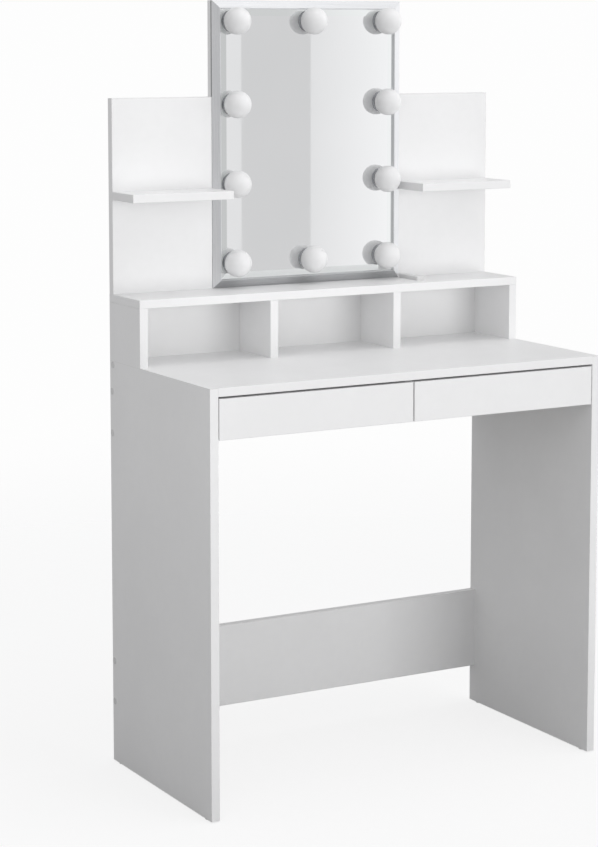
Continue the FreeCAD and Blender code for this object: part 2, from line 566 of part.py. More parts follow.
# runner members.  Each profile is built for a wall at x = 0 with the
# drawer on its +x side, then placed or mirrored.
RY = 140.0                 # rear roller, on the drawer
RZ = 674.0
CY = -160.0                # front roller, on the cabinet
CZ = 679.0
T = 1.2


def cab_member():
    web = box(0, T, -170, 178, 663, 685)
    bot = box(0, 11, -170, 178, 663, 663 + T)
    lip = box(11 - T, 11, -170, 178, 663, 667)
    top = box(0, 8, -140, 178, 685 - T, 685)
    nose = box(0, T, -170, -145, 663, 690)
    stud = fuse(cyl((0.6, CY, CZ), (1, 0, 0), 2.5, 8.9), cyl((9.3, CY, CZ), (1, 0, 0), 3.8, 0.5))
    s = fuse(web, bot, lip, top, nose, stud)
    return s


def drw_member():
    x = RUN_W
    web = box(x - 1.2, x, -178, BOX_END, 666.8, 690)
    bot = box(x - 1.2, x + 10.5, -178, BOX_END, 666.8, 668)
    top = box(1.6, x, -178, BOX_END, 688.8, 690)
    stud = fuse(cyl((2.6, RY, RZ), (1, 0, 0), 2.5, 9.3), cyl((2.4, RY, RZ), (1, 0, 0), 3.8, 0.5))
    return fuse(web, bot, top, stud)


def roller(y, z):
    r = cyl((3.2, y, z), (1, 0, 0), ROLLER_R, 5.8)
    r = r.makeFillet(0.8, [e for e in r.Edges if e.Curve.TypeId == 'Part::GeomCircle'])
    r = r.cut(cyl((0, y, z), (1, 0, 0), 2.56, 12))
    # moulded lightening ring on the outer face
    ring = cyl((8.0, y, z), (1, 0, 0), 7.0, 2).cut(cyl((8.0, y, z), (1, 0, 0), 4.2, 2))
    return r.cut(ring)


def at_wall(s, x, flip):
    s = s.copy()
    if flip:
        s = mirror_x(s)
    s.translate(V(x, 0, 0))
    return s


def pan_screw(x, y, z, d):
    head = Part.makeCylinder(3.4, 0.8, V(x, y, z), V(-d, 0, 0))
    head = head.makeFillet(0.4, [e for e in head.Edges if e.Curve.TypeId == 'Part::GeomCircle'
                                 and near(e.CenterOfMass.x, x - d * 0.8)])
    s = fuse(head, Part.makeCylinder(1.75, 10.5, V(x, y, z), V(d, 0, 0)),
             Part.makeCone(1.75, 0.4, 2.5, V(x + d * 10.5, y, z), V(d, 0, 0)))
    return s


cab = {"left": [], "right": []}
walls = (("left", -XI, False, "left_side_panel", (-120.0, 90.0)),
         ("left", -PT / 2, True, "drawer_partition", (-100.0, 110.0)),
         ("right", PT / 2, False, "drawer_partition", (-125.0, 85.0)),
         ("right", XI, True, "right_side_panel", (-120.0, 90.0)))
for bay, x, flip, node, ys in walls:
    m = at_wall(cab_member(), x, flip)
    into = 1 if flip else -1
    for y in ys:
        xs = x - into * T
        hole = Part.makeCylinder(1.95, T + 1.0, V(xs - into * 0.5, y, 674.0), V(into, 0, 0))
        m = m.cut(hole)
        runner_screws.append(pan_screw(xs, y, 674.0, into))
        cut_in(node, Part.makeCylinder(1.85, 12.6, V(x, y, 674.0), V(into, 0, 0)))
    cab[bay].append(m)

rollers = {"cab_left": [at_wall(roller(CY, CZ), -XI, False), at_wall(roller(CY, CZ), -PT / 2, True)],
           "drw_left": [at_wall(roller(RY, RZ), -XI, False), at_wall(roller(RY, RZ), -PT / 2, True)]}
rollers["cab_right"] = [mirror_x(s) for s in rollers["cab_left"]]
rollers["drw_right"] = [mirror_x(s) for s in rollers["drw_left"]]
members_left = [at_wall(drw_member(), -XI, False), at_wall(drw_member(), -PT / 2, True)]
for n, lst in drawer_cuts.items():
    for c in lst:
        drw[n] = drw[n].cut(c)

# ---------------------------------------------------------------- output
for n, lst in cuts.items():
    tgt = shapes[n]
    for c in lst:
        tgt = tgt.cut(c)
    shapes[n] = tgt
for n, s in shapes.items():
    put(n, s)
put("lamp_bases", *bases)
put("lamp_globes", *globes)
put("lamp_led_boards", *leds)
put("lamp_stems", *stems)
put("lamp_nuts", *nuts)
put("lamp_wiring", wiring)
put("power_inlet", inlet)
put("dimmer_base", base)
put("dimmer_cover", cover)
put("dimmer_circuit_board", pcb)
put("dimmer_button", button)
put("cabinet_runners_left", *cab["left"])
put("cabinet_runners_right", *cab["right"])
put("cabinet_rollers_left", *rollers["cab_left"])
put("cabinet_rollers_right", *rollers["cab_right"])
put("cam_lock_discs", *cam_discs)
put("cam_bolts", *cam_bolts)
put("wooden_dowels", *dowels)
put("confirmat_screws", *confirmats)
put("screw_caps", *caps)
put("floor_glides", *glides)
put("runner_screws", *runner_screws)
for side in ("left", "right"):
    f = (lambda s: s) if side == "left" else mirror_x
    names = {"front": "front", "inner_front": "inner_front", "back": "back", "bottom": "bottom",
             "side_left": "side_left" if side == "left" else "side_right",
             "side_right": "side_right" if side == "left" else "side_left"}
    for k, s in drw.items():
        put(side + "_drawer_" + names[k], f(s))
    put(side + "_drawer_runners", *[f(s) for s in members_left])
    put(side + "_drawer_rollers", *rollers["drw_" + side])
    put(side + "_drawer_screws", *[f(s) for s in dscrews])

os.makedirs("parts", exist_ok=True)
for n in sorted(parts):
    parts[n].exportStep(os.path.join("parts", n + ".step"))
print(len(parts), "nodes", sum(len(p.Solids) for p in parts.values()), "solids")
bb = Part.makeCompound(list(parts.values())).BoundBox
print("box", round(bb.XMin, 2), round(bb.XMax, 2), round(bb.YMin, 2), round(bb.YMax, 2), round(bb.ZMin, 2), round(bb.ZMax, 2))
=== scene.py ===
import math

import bmesh
import bpy
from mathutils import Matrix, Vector


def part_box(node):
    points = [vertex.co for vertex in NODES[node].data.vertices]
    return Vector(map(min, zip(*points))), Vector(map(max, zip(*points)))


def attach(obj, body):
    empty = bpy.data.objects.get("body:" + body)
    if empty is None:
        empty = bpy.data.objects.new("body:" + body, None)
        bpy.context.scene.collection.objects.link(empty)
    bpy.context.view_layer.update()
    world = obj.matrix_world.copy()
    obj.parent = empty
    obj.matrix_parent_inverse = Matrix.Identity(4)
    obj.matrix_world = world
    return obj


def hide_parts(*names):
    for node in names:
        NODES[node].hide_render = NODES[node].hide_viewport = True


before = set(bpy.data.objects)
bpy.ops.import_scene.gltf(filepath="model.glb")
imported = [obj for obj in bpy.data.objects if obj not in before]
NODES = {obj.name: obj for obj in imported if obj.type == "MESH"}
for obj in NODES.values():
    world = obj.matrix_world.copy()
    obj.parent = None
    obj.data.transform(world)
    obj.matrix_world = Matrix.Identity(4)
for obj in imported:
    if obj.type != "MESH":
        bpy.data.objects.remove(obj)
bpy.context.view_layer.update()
scene = bpy.context.scene


# ------------------------------------------------------------------ camera
cam_data = bpy.data.cameras.new("camera")
cam_data.sensor_fit = "AUTO"
cam_data.sensor_width = 36.0
cam_data.lens = 97.83
cam_data.shift_x = 0.0
cam_data.shift_y = -0.15
cam_data.clip_start, cam_data.clip_end = 0.05, 200.0
cam = bpy.data.objects.new("camera", cam_data)
scene.collection.objects.link(cam)
CAM_YAW, CAM_PITCH = math.radians(29.471), math.radians(6.616)
look = Vector((math.sin(CAM_YAW) * math.cos(CAM_PITCH),
               math.cos(CAM_YAW) * math.cos(CAM_PITCH), -math.sin(CAM_PITCH)))
cam.location = (-2.12497, -3.54864, 1.33541)
cam.rotation_mode = "QUATERNION"
cam.rotation_quaternion = look.to_track_quat("-Z", "Y")
scene.camera = cam

scene.view_settings.view_transform = "Standard"
scene.view_settings.look = "None"
scene.view_settings.exposure = 0.0
scene.view_settings.gamma = 1.0


# ------------------------------------------------------------ node helpers
class Tree:
    """Short hand for building one node tree."""

    def __init__(self, tree):
        self.t = tree
        tree.nodes.clear()

    def add(self, kind, **props):
        n = self.t.nodes.new(kind)
        for k, v in props.items():
            setattr(n, k, v)
        return n

    def link(self, a, b):
        self.t.links.new(a, b)

    def val(self, sock, v):
        if hasattr(v, "is_output"):
            self.link(v, sock)
        else:
            sock.default_value = v

    def math(self, op, a, b=0.0, c=0.0, clamp=False):
        n = self.add("ShaderNodeMath", operation=op, use_clamp=clamp)
        self.val(n.inputs[0], a)
        self.val(n.inputs[1], b)
        if len(n.inputs) > 2:
            self.val(n.inputs[2], c)
        return n.outputs[0]

    def ramp(self, x, lo, hi, a=0.0, b=1.0, kind="SMOOTHSTEP"):
        n = self.add("ShaderNodeMapRange", interpolation_type=kind)
        self.val(n.inputs["Value"], x)
        n.inputs["From Min"].default_value = lo
        n.inputs["From Max"].default_value = hi
        n.inputs["To Min"].default_value = a
        n.inputs["To Max"].default_value = b
        return n.outputs["Result"]

    def noise(self, vec, scale, detail=2.0, rough=0.5, dist=0.0):
        n = self.add("ShaderNodeTexNoise", noise_dimensions="3D")
        self.link(vec, n.inputs["Vector"])
        n.inputs["Scale"].default_value = scale
        n.inputs["Detail"].default_value = detail
        n.inputs["Roughness"].default_value = rough
        n.inputs["Distortion"].default_value = dist
        return n.outputs["Fac"]

    def voronoi(self, vec, scale, feature="F1"):
        n = self.add("ShaderNodeTexVoronoi", feature=feature)
        self.link(vec, n.inputs["Vector"])
        n.inputs["Scale"].default_value = scale
        return n.outputs["Distance"]

    def stretch(self, vec, s, rot=(0, 0, 0)):
        n = self.add("ShaderNodeMapping")
        self.link(vec, n.inputs["Vector"])
        n.inputs["Scale"].default_value = s
        n.inputs["Rotation"].default_value = rot
        return n.outputs["Vector"]

    def mix(self, fac, a, b):
        n = self.add("ShaderNodeMix", data_type="RGBA", blend_type="MIX")
        self.val(n.inputs[0], fac)
        for sock, v in ((n.inputs[6], a), (n.inputs[7], b)):
            if hasattr(v, "is_output"):
                self.link(v, sock)
            else:
                sock.default_value = (*v, 1.0)
        return n.outputs[2]

    def bump(self, height, strength, distance, normal=None):
        n = self.add("ShaderNodeBump")
        n.inputs["Strength"].default_value = strength
        n.inputs["Distance"].default_value = distance
        self.link(height, n.inputs["Height"])
        if normal is not None:
            self.link(normal, n.inputs["Normal"])
        return n.outputs["Normal"]


def new_mat(name):
    m = bpy.data.materials.new("look_" + name)
    m.use_nodes = True
    t = Tree(m.node_tree)
    out = t.add("ShaderNodeOutputMaterial")
    p = t.add("ShaderNodeBsdfPrincipled")
    t.link(p.outputs[0], out.inputs["Surface"])
    tc = t.add("ShaderNodeTexCoord")
    geo = t.add("ShaderNodeNewGeometry")
    return m, t, p, tc.outputs["Object"], geo.outputs["True Normal"] if "True Normal" in geo.outputs else geo.outputs["Normal"]


def xyz(t, vec):
    n = t.add("ShaderNodeSeparateXYZ")
    t.link(vec, n.inputs[0])
    return n.outputs[0], n.outputs[1], n.outputs[2]


def shade(base, k):
    return tuple(max(0.0, min(1.0, c * k)) for c in base)


# --------------------------------------------------------------- materials
def board_material(name, base=(0.865, 0.865, 0.867), seams=(), tooth=1.0, rough=0.40):
    """Satin white melamine: fine pressed tooth, slow cloudiness of the paper,
    and the hairline glue joint of the edge band.
    seams: (axis, position, axis of the band's own face)"""
    m, t, p, co, nor = new_mat(name)
    x, y, z = xyz(t, co)
    pos = {"x": x, "y": y, "z": z}
    nx, ny, nz = xyz(t, nor)
    nrm = {"x": nx, "y": ny, "z": nz}
    cloud = t.noise(co, 7.0, 4.0, 0.55)
    mott = t.noise(co, 60.0, 3.0, 0.6)
    col = t.mix(t.ramp(cloud, 0.3, 0.7), shade(base, 0.985), shade(base, 1.012))
    col = t.mix(t.ramp(mott, 0.35, 0.75, 0.0, 0.35), col, shade(base, 0.972))
    # scattered paper fibres, barely darker
    fib = t.noise(t.stretch(co, (240.0, 240.0, 900.0)), 1.0, 2.0, 0.5)
    col = t.mix(t.ramp(fib, 0.66, 0.80, 0.0, 0.16), col, shade(base, 0.90))
    line = None
    for axis, at, face in seams:
        d = t.math("ABSOLUTE", t.math("SUBTRACT", pos[axis], at))
        k = t.ramp(d, 0.00008, 0.00030, 1.0, 0.0)
        flat = t.math("LESS_THAN", t.math("ABSOLUTE", nrm[axis]), 0.5)
        k = t.math("MULTIPLY", k, flat)
        if face:
            k = t.math("MULTIPLY", k, t.math("LESS_THAN", t.math("ABSOLUTE", nrm[face]), 0.5))
        line = k if line is None else t.math("MAXIMUM", line, k)
    if line is not None:
        col = t.mix(t.math("MULTIPLY", line, 0.42), col, (0.50, 0.49, 0.47))
    t.link(col, p.inputs["Base Color"])
    r = t.ramp(t.noise(co, 18.0, 5.0, 0.6), 0.25, 0.75, rough - 0.045, rough + 0.06)
    t.link(r, p.inputs["Roughness"])
    p.inputs["IOR"].default_value = 1.48
    p.inputs["Specular IOR Level"].default_value = 0.42
    peel = t.noise(co, 520.0, 2.0, 0.5)
    pores = t.voronoi(co, 1500.0)
    nb = t.bump(peel, 0.10 * tooth, 0.00009)
    nb = t.bump(pores, 0.06 * tooth, 0.00004, nb)
    if line is not None:
        nb = t.bump(t.math("SUBTRACT", 1.0, line), 0.35, 0.00012, nb)
    t.link(nb, p.inputs["Normal"])
    return m


def raw_core(t, co):
    """Colour of bare particle board, for drilled holes and channels."""
    chips = t.voronoi(co, 620.0)
    fine = t.noise(co, 300.0, 4.0, 0.7)
    a = t.mix(t.ramp(chips, 0.1, 0.7), (0.42, 0.31, 0.20), (0.58, 0.46, 0.32))
    return t.mix(t.ramp(fine, 0.3, 0.7, 0.0, 0.6), a, (0.34, 0.25, 0.16))


def mirror_board_material():
    """White melamine whose routed channels and pockets show the core, with a painted shadow line along the outer
    edges beside the frame.
    """
    m, t, p, co, nor = new_mat("mirror_board")
    x, y, z = xyz(t, co)
    nx, ny, nz = xyz(t, nor)
    base = (0.865, 0.865, 0.867)
    cloud = t.noise(co, 7.0, 4.0, 0.55)
    white = t.mix(t.ramp(cloud, 0.3, 0.7), shade(base, 0.985), shade(base, 1.012))
    white = t.mix(t.ramp(t.noise(co, 60.0, 3.0, 0.6), 0.35, 0.75, 0.0, 0.35), white, shade(base, 0.972))
    # anything below the rear face but inside the outline is cut into the core
    inner_y = t.math("MULTIPLY", t.math("LESS_THAN", y, 0.1957), t.math("GREATER_THAN", y, 0.1803))
    inx = t.math("LESS_THAN", t.math("ABSOLUTE", x), 0.1990)
    inz = t.math("MULTIPLY", t.math("GREATER_THAN", z, 0.8650), t.math("LESS_THAN", z, 1.3870))
    inside = t.math("MULTIPLY", t.math("MULTIPLY", inx, inz), inner_y)
    col = t.mix(inside, white, raw_core(t, co))
    # painted shadow: a near-black band about 3 mm wide on the board's outer edge faces next to the frame, standing in
    # for the shadow in the gap under the frame's lip
    outer = t.math("MAXIMUM", t.math("GREATER_THAN", t.math("ABSOLUTE", x), 0.1995),
                   t.math("LESS_THAN", z, 0.8645))
    lip_gap_painted_shadow = t.math("MULTIPLY", outer, t.ramp(y, 0.1828, 0.1834, 1.0, 0.0))
    col = t.mix(lip_gap_painted_shadow, col, (0.075, 0.078, 0.082))
    t.link(col, p.inputs["Base Color"])
    r = t.ramp(t.noise(co, 18.0, 5.0, 0.6), 0.25, 0.75, 0.36, 0.46)
    r = t.math("ADD", r, t.math("MULTIPLY", inside, 0.35))
    t.link(r, p.inputs["Roughness"])
    p.inputs["IOR"].default_value = 1.48
    nb = t.bump(t.noise(co, 520.0, 2.0, 0.5), 0.10, 0.00009)
    nb = t.bump(t.math("MULTIPLY", t.voronoi(co, 620.0), inside), 0.5, 0.0003, nb)
    t.link(nb, p.inputs["Normal"])
    return m


def hardboard_material():
    """Thin fibreboard: a smooth white lacquered face, the other side keeps
    the fibre and the pressed screen pattern under a thin primer."""
    m, t, p, co, nor = new_mat("hardboard")
    nx, ny, nz = xyz(t, nor)
    rough_side = t.math("MAXIMUM", t.math("GREATER_THAN", ny, 0.5), t.math("LESS_THAN", nz, -0.5))
    base = (0.865, 0.865, 0.865)
    fibre = t.noise(t.stretch(co, (1.0, 1.0, 1.0)), 260.0, 6.0, 0.75, 0.8)
    white = t.mix(t.ramp(t.noise(co, 9.0, 4.0), 0.3, 0.7), shade(base, 0.985), shade(base, 1.01))
    primer = t.mix(t.ramp(fibre, 0.35, 0.68), (0.60, 0.58, 0.545), (0.73, 0.715, 0.69))
    primer = t.mix(t.ramp(t.noise(co, 22.0, 3.0), 0.35, 0.7, 0.0, 0.4), primer, (0.66, 0.645, 0.61))
    t.link(t.mix(rough_side, white, primer), p.inputs["Base Color"])
    t.link(t.math("ADD", t.ramp(fibre, 0.3, 0.7, 0.38, 0.50), t.math("MULTIPLY", rough_side, 0.25)), p.inputs["Roughness"])
    # screen side: crossed fine ribs
    w1 = t.add("ShaderNodeTexWave", wave_type="BANDS", bands_direction="X", wave_profile="SIN")
    w2 = t.add("ShaderNodeTexWave", wave_type="BANDS", bands_direction="Z", wave_profile="SIN")
    w3 = t.add("ShaderNodeTexWave", wave_type="BANDS", bands_direction="Y", wave_profile="SIN")
    for w in (w1, w2, w3):
        t.link(co, w.inputs["Vector"])
        w.inputs["Scale"].default_value = 190.0
        w.inputs["Distortion"].default_value = 0.6
    net = t.math("ADD", t.math("ADD", w1.outputs["Fac"], w2.outputs["Fac"]), w3.outputs["Fac"])
    nb = t.bump(t.noise(co, 600.0, 2.0), 0.08, 0.00008)
    nb = t.bump(t.math("MULTIPLY", net, rough_side), 0.25, 0.00018, nb)
    nb = t.bump(t.math("MULTIPLY", fibre, rough_side), 0.35, 0.0002, nb)
    t.link(nb, p.inputs["Normal"])
    return m


def foil_material(name, along, k=1.0):
    """Satin silver foil over a moulded strip, drawn along its length; k below 1 darkens all its colours as painted
    shade.
    """
    m, t, p, co, nor = new_mat(name)
    s = (6.0, 900.0, 900.0) if along == "x" else (900.0, 900.0, 6.0)
    streak = t.noise(t.stretch(co, s), 1.0, 4.0, 0.6)
    cloud = t.noise(co, 11.0, 3.0, 0.5)
    col = t.mix(t.ramp(streak, 0.3, 0.7), shade((0.80, 0.81, 0.825), k), shade((0.885, 0.89, 0.90), k))
    col = t.mix(t.ramp(cloud, 0.35, 0.7, 0.0, 0.35), col, shade((0.78, 0.79, 0.81), k))
    t.link(col, p.inputs["Base Color"])
    p.inputs["Metallic"].default_value = 0.92
    t.link(t.ramp(t.noise(t.stretch(co, s), 1.7, 3.0), 0.25, 0.75, 0.26, 0.38), p.inputs["Roughness"])
    p.inputs["Coat Weight"].default_value = 0.25
    p.inputs["Coat Roughness"].default_value = 0.22
    nb = t.bump(streak, 0.10, 0.00006)
    nb = t.bump(t.noise(co, 420.0, 2.0), 0.08, 0.00008, nb)
    t.link(nb, p.inputs["Normal"])
    return m


def mirror_material():
    """Silvered float glass; the ground border and its edges are slightly
    softer, with the faint green of the glass in the slant."""
    m, t, p, co, nor = new_mat("mirror_glass")
    nx, ny, nz = xyz(t, nor)
    slant = t.ramp(t.math("MULTIPLY", ny, -1.0), 0.9995, 0.9965)
    side = t.math("LESS_THAN", t.math("ABSOLUTE", ny), 0.7)
    cloud = t.noise(co, 5.0, 3.0, 0.5)
    col = t.mix(t.ramp(cloud, 0.3, 0.7), (0.955, 0.962, 0.965), (0.972, 0.976, 0.980))
    col = t.mix(slant, col, (0.93, 0.95, 0.945))
    col = t.mix(side, col, (0.42, 0.55, 0.50))
    t.link(col, p.inputs["Base Color"])
    p.inputs["Metallic"].default_value = 1.0
    haze = t.ramp(t.noise(co, 16.0, 5.0, 0.65), 0.35, 0.8, 0.006, 0.022)
    r = t.math("ADD", haze, t.math("MULTIPLY", slant, 0.02))
    t.link(t.math("ADD", r, t.math("MULTIPLY", side, 0.3)), p.inputs["Roughness"])
    p.inputs["Coat Weight"].default_value = 0.0
    return m


def opal_material():
    """Opal lamp globe: milky satin shell with faint blown streaks."""
    m, t, p, co, nor = new_mat("frosted_globe")
    n1 = t.noise(co, 45.0, 3.0, 0.5)
    n2 = t.noise(t.stretch(co, (1.0, 3.0, 1.0)), 160.0, 3.0, 0.6)
    col = t.mix(t.ramp(n1, 0.3, 0.7), (0.85, 0.85, 0.853), (0.88, 0.88, 0.885))
    col = t.mix(t.ramp(n2, 0.5, 0.8, 0.0, 0.25), col, (0.845, 0.845, 0.85))
    t.link(col, p.inputs["Base Color"])
    p.inputs["Subsurface Weight"].default_value = 0.25
    p.inputs["Subsurface Radius"].default_value = (1.0, 1.0, 1.0)
    p.inputs["Subsurface Scale"].default_value = 0.005
    t.link(t.ramp(n1, 0.3, 0.7, 0.30, 0.38), p.inputs["Roughness"])
    p.inputs["IOR"].default_value = 1.5
    p.inputs["Coat Weight"].default_value = 0.35
    p.inputs["Coat Roughness"].default_value = 0.12
    nb = t.bump(t.noise(co, 900.0, 2.0), 0.06, 0.00004)
    t.link(nb, p.inputs["Normal"])
    return m


def metal_material(name, lo, hi, rough=(0.22, 0.36), scale=700.0, spangle=0.0, metallic=1.0, bump=0.12):
    m, t, p, co, nor = new_mat(name)
    n1 = t.noise(co, scale, 4.0, 0.6)
    n2 = t.noise(co, scale * 0.08, 3.0, 0.5)
    col = t.mix(t.ramp(n2, 0.3, 0.7), lo, hi)
    if spangle:
        v = t.add("ShaderNodeTexVoronoi", feature="F1")
        t.link(co, v.inputs["Vector"])
        v.inputs["Scale"].default_value = spangle
        bw = t.add("ShaderNodeRGBToBW")
        t.link(v.outputs["Color"], bw.inputs[0])
        col = t.mix(t.ramp(bw.outputs[0], 0.2, 0.8, 0.0, 0.45), col, shade(lo, 0.82))
    col = t.mix(t.ramp(n1, 0.55, 0.8, 0.0, 0.4), col, shade(lo, 0.75))
    t.link(col, p.inputs["Base Color"])
    p.inputs["Metallic"].default_value = metallic
    t.link(t.ramp(n1, 0.25, 0.75, *rough), p.inputs["Roughness"])
    t.link(t.bump(n1, bump, 0.00006), p.inputs["Normal"])
    return m


def plastic_material(name, base, rough=(0.34, 0.44), grain=1100.0, strength=0.18, sss=0.0, coat=0.0):
    """Moulded plastic with a fine spark-eroded grain."""
    m, t, p, co, nor = new_mat(name)
    n1 = t.noise(co, 30.0, 3.0, 0.5)
    n2 = t.voronoi(co, grain)
    col = t.mix(t.ramp(n1, 0.3, 0.7), shade(base, 0.97), shade(base, 1.02))
    col = t.mix(t.ramp(n2, 0.25, 0.75, 0.0, 0.22), col, shade(base, 0.90))
    t.link(col, p.inputs["Base Color"])
    t.link(t.ramp(t.noise(co, 200.0, 3.0), 0.25, 0.75, *rough), p.inputs["Roughness"])
    p.inputs["IOR"].default_value = 1.49
    if sss:
        p.inputs["Subsurface Weight"].default_value = sss
        p.inputs["Subsurface Scale"].default_value = 0.0015
    if coat:
        p.inputs["Coat Weight"].default_value = coat
        p.inputs["Coat Roughness"].default_value = 0.15
    t.link(t.bump(n2, strength, 0.00005), p.inputs["Normal"])
    return m


def powder_material():
    """White powder coat on folded steel: orange peel and darker scuffed streaks."""
    m, t, p, co, nor = new_mat("runner_steel")
    base = (0.79, 0.79, 0.785)
    n1 = t.noise(co, 380.0, 2.0, 0.5)
    n2 = t.noise(co, 25.0, 4.0, 0.6)
    col = t.mix(t.ramp(n2, 0.3, 0.7), shade(base, 0.97), shade(base, 1.01))
    scuff = t.ramp(t.noise(t.stretch(co, (1.0, 0.06, 1.0)), 500.0, 4.0, 0.7), 0.70, 0.82, 0.0, 0.30)
    col = t.mix(scuff, col, (0.56, 0.56, 0.56))
    t.link(col, p.inputs["Base Color"])
    t.link(t.ramp(n1, 0.25, 0.75, 0.26, 0.38), p.inputs["Roughness"])
    p.inputs["Coat Weight"].default_value = 0.2
    p.inputs["Coat Roughness"].default_value = 0.2
    t.link(t.bump(n1, 0.28, 0.0001), p.inputs["Normal"])
    return m


def nylon_material():
    base = (0.76, 0.76, 0.74)
    m, t, p, co, nor = new_mat("roller_plastic")
    n1 = t.noise(co, 60.0, 3.0, 0.5)
    rings = t.noise(t.stretch(co, (2200.0, 40.0, 40.0)), 1.0, 2.0, 0.5)
    col = t.mix(t.ramp(n1, 0.3, 0.7), shade(base, 0.96), shade(base, 1.03))
    col = t.mix(t.ramp(rings, 0.5, 0.8, 0.0, 0.25), col, shade(base, 0.88))
    t.link(col, p.inputs["Base Color"])
    t.link(t.ramp(rings, 0.3, 0.7, 0.30, 0.42), p.inputs["Roughness"])
    p.inputs["Subsurface Weight"].default_value = 0.25
    p.inputs["Subsurface Scale"].default_value = 0.002
    t.link(t.bump(rings, 0.12, 0.00006), p.inputs["Normal"])
    return m


def beech_material():
    m, t, p, co, nor = new_mat("beech")
    g = t.noise(t.stretch(co, (160.0, 900.0, 900.0)), 1.0, 5.0, 0.6, 0.4)
    ray = t.noise(t.stretch(co, (700.0, 2200.0, 2200.0)), 1.0, 2.0, 0.5)
    col = t.mix(t.ramp(g, 0.3, 0.7), (0.56, 0.37, 0.20), (0.73, 0.54, 0.34))
    col = t.mix(t.ramp(ray, 0.62, 0.75, 0.0, 0.6), col, (0.42, 0.26, 0.14))
    t.link(col, p.inputs["Base Color"])
    t.link(t.ramp(g, 0.3, 0.7, 0.52, 0.68), p.inputs["Roughness"])
    t.link(t.bump(g, 0.3, 0.0001), p.inputs["Normal"])
    return m


def board_solder_material():
    """White solder mask over copper, for the small circuit boards."""
    m, t, p, co, nor = new_mat("circuit_board")
    cell = t.add("ShaderNodeTexBrick")
    t.link(co, cell.inputs["Vector"])
    cell.inputs["Scale"].default_value = 260.0
    cell.inputs["Mortar Size"].default_value = 0.06
    tr = t.ramp(t.noise(co, 420.0, 1.0), 0.49, 0.51, 0.0, 0.35)
    col = t.mix(cell.outputs["Fac"], (0.83, 0.84, 0.82), (0.74, 0.76, 0.73))
    col = t.mix(tr, col, (0.72, 0.74, 0.71))
    t.link(col, p.inputs["Base Color"])
    t.link(t.ramp(t.noise(co, 90.0, 3.0), 0.3, 0.7, 0.24, 0.36), p.inputs["Roughness"])
    t.link(t.bump(tr, 0.2, 0.00006), p.inputs["Normal"])
    return m


def wire_material():
    m, t, p, co, nor = new_mat("wire_sheath")
    base = (0.80, 0.80, 0.795)
    n = t.noise(co, 420.0, 3.0, 0.6)
    col = t.mix(t.ramp(t.noise(co, 22.0, 3.0), 0.3, 0.7), shade(base, 0.95), shade(base, 1.02))
    col = t.mix(t.ramp(n, 0.6, 0.8, 0.0, 0.3), col, shade(base, 0.85))
    t.link(col, p.inputs["Base Color"])
    t.link(t.ramp(n, 0.3, 0.7, 0.36, 0.5), p.inputs["Roughness"])
    t.link(t.bump(n, 0.15, 0.00008), p.inputs["Normal"])
    return m


def dress(node, material):
    o = NODES[node]
    for s in o.material_slots:
        s.material = material
    if not o.material_slots:
        o.data.materials.append(material)


# board nodes with their edge-band joints (band thickness 1 mm)
BAND = 0.001


def at(node, axis, end, inward=BAND):
    lo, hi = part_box(node)
    i = "xyz".index(axis)
    return (axis, lo[i] + inward if end == "lo" else hi[i] - inward, None)


SEAMS = {
    "left_side_panel": [("y", -0.196 + BAND, None), ("z", 0.744 - BAND, None)],
    "right_side_panel": [("y", -0.196 + BAND, None), ("z", 0.744 - BAND, None)],
    "desk_top": [("y", -0.196 + BAND, None)],
    "organizer_top": [at("organizer_top", "y", "lo"), at("organizer_top", "x", "lo"), at("organizer_top", "x", "hi")],
    "organizer_divider_left": [at("organizer_divider_left", "y", "lo")],
    "organizer_divider_right": [at("organizer_divider_right", "y", "lo")],
    "lower_rear_rail": [at("lower_rear_rail", "z", "lo"), at("lower_rear_rail", "z", "hi")],
    "upper_rear_rail": [at("upper_rear_rail", "z", "lo")],
    "drawer_partition": [at("drawer_partition", "y", "lo"), at("drawer_partition", "z", "lo")],
    "back_board_left": [at("back_board_left", "x", "lo"), at("back_board_left", "z", "hi")],
    "back_board_right": [at("back_board_right", "x", "hi"), at("back_board_right", "z", "hi")],
    "shelf_left": [at("shelf_left", "y", "lo"), at("shelf_left", "x", "lo")],
    "shelf_right": [at("shelf_right", "y", "lo"), at("shelf_right", "x", "hi")],
    "left_drawer_front": [("y", -0.180 - 0.0002, None)],
    "right_drawer_front": [("y", -0.180 - 0.0002, None)],
}
for node, seams in SEAMS.items():
    dress(node, board_material(node, seams=seams))
dress("mirror_board", mirror_board_material())
drawer_mat = board_material("drawer_board", base=(0.80, 0.80, 0.795), seams=[("z", 0.716 - BAND, None)], tooth=1.3, rough=0.46)
for side in ("left", "right"):
    for k in ("inner_front", "side_left", "side_right", "back"):
        dress(side + "_drawer_" + k, drawer_mat)
hb = hardboard_material()
for n in ("organizer_back", "left_drawer_bottom", "right_drawer_bottom"):
    dress(n, hb)
foil_x, foil_z = foil_material("silver_frame_x", "x"), foil_material("silver_frame_z", "z")
dress("mirror_frame_top", foil_x)
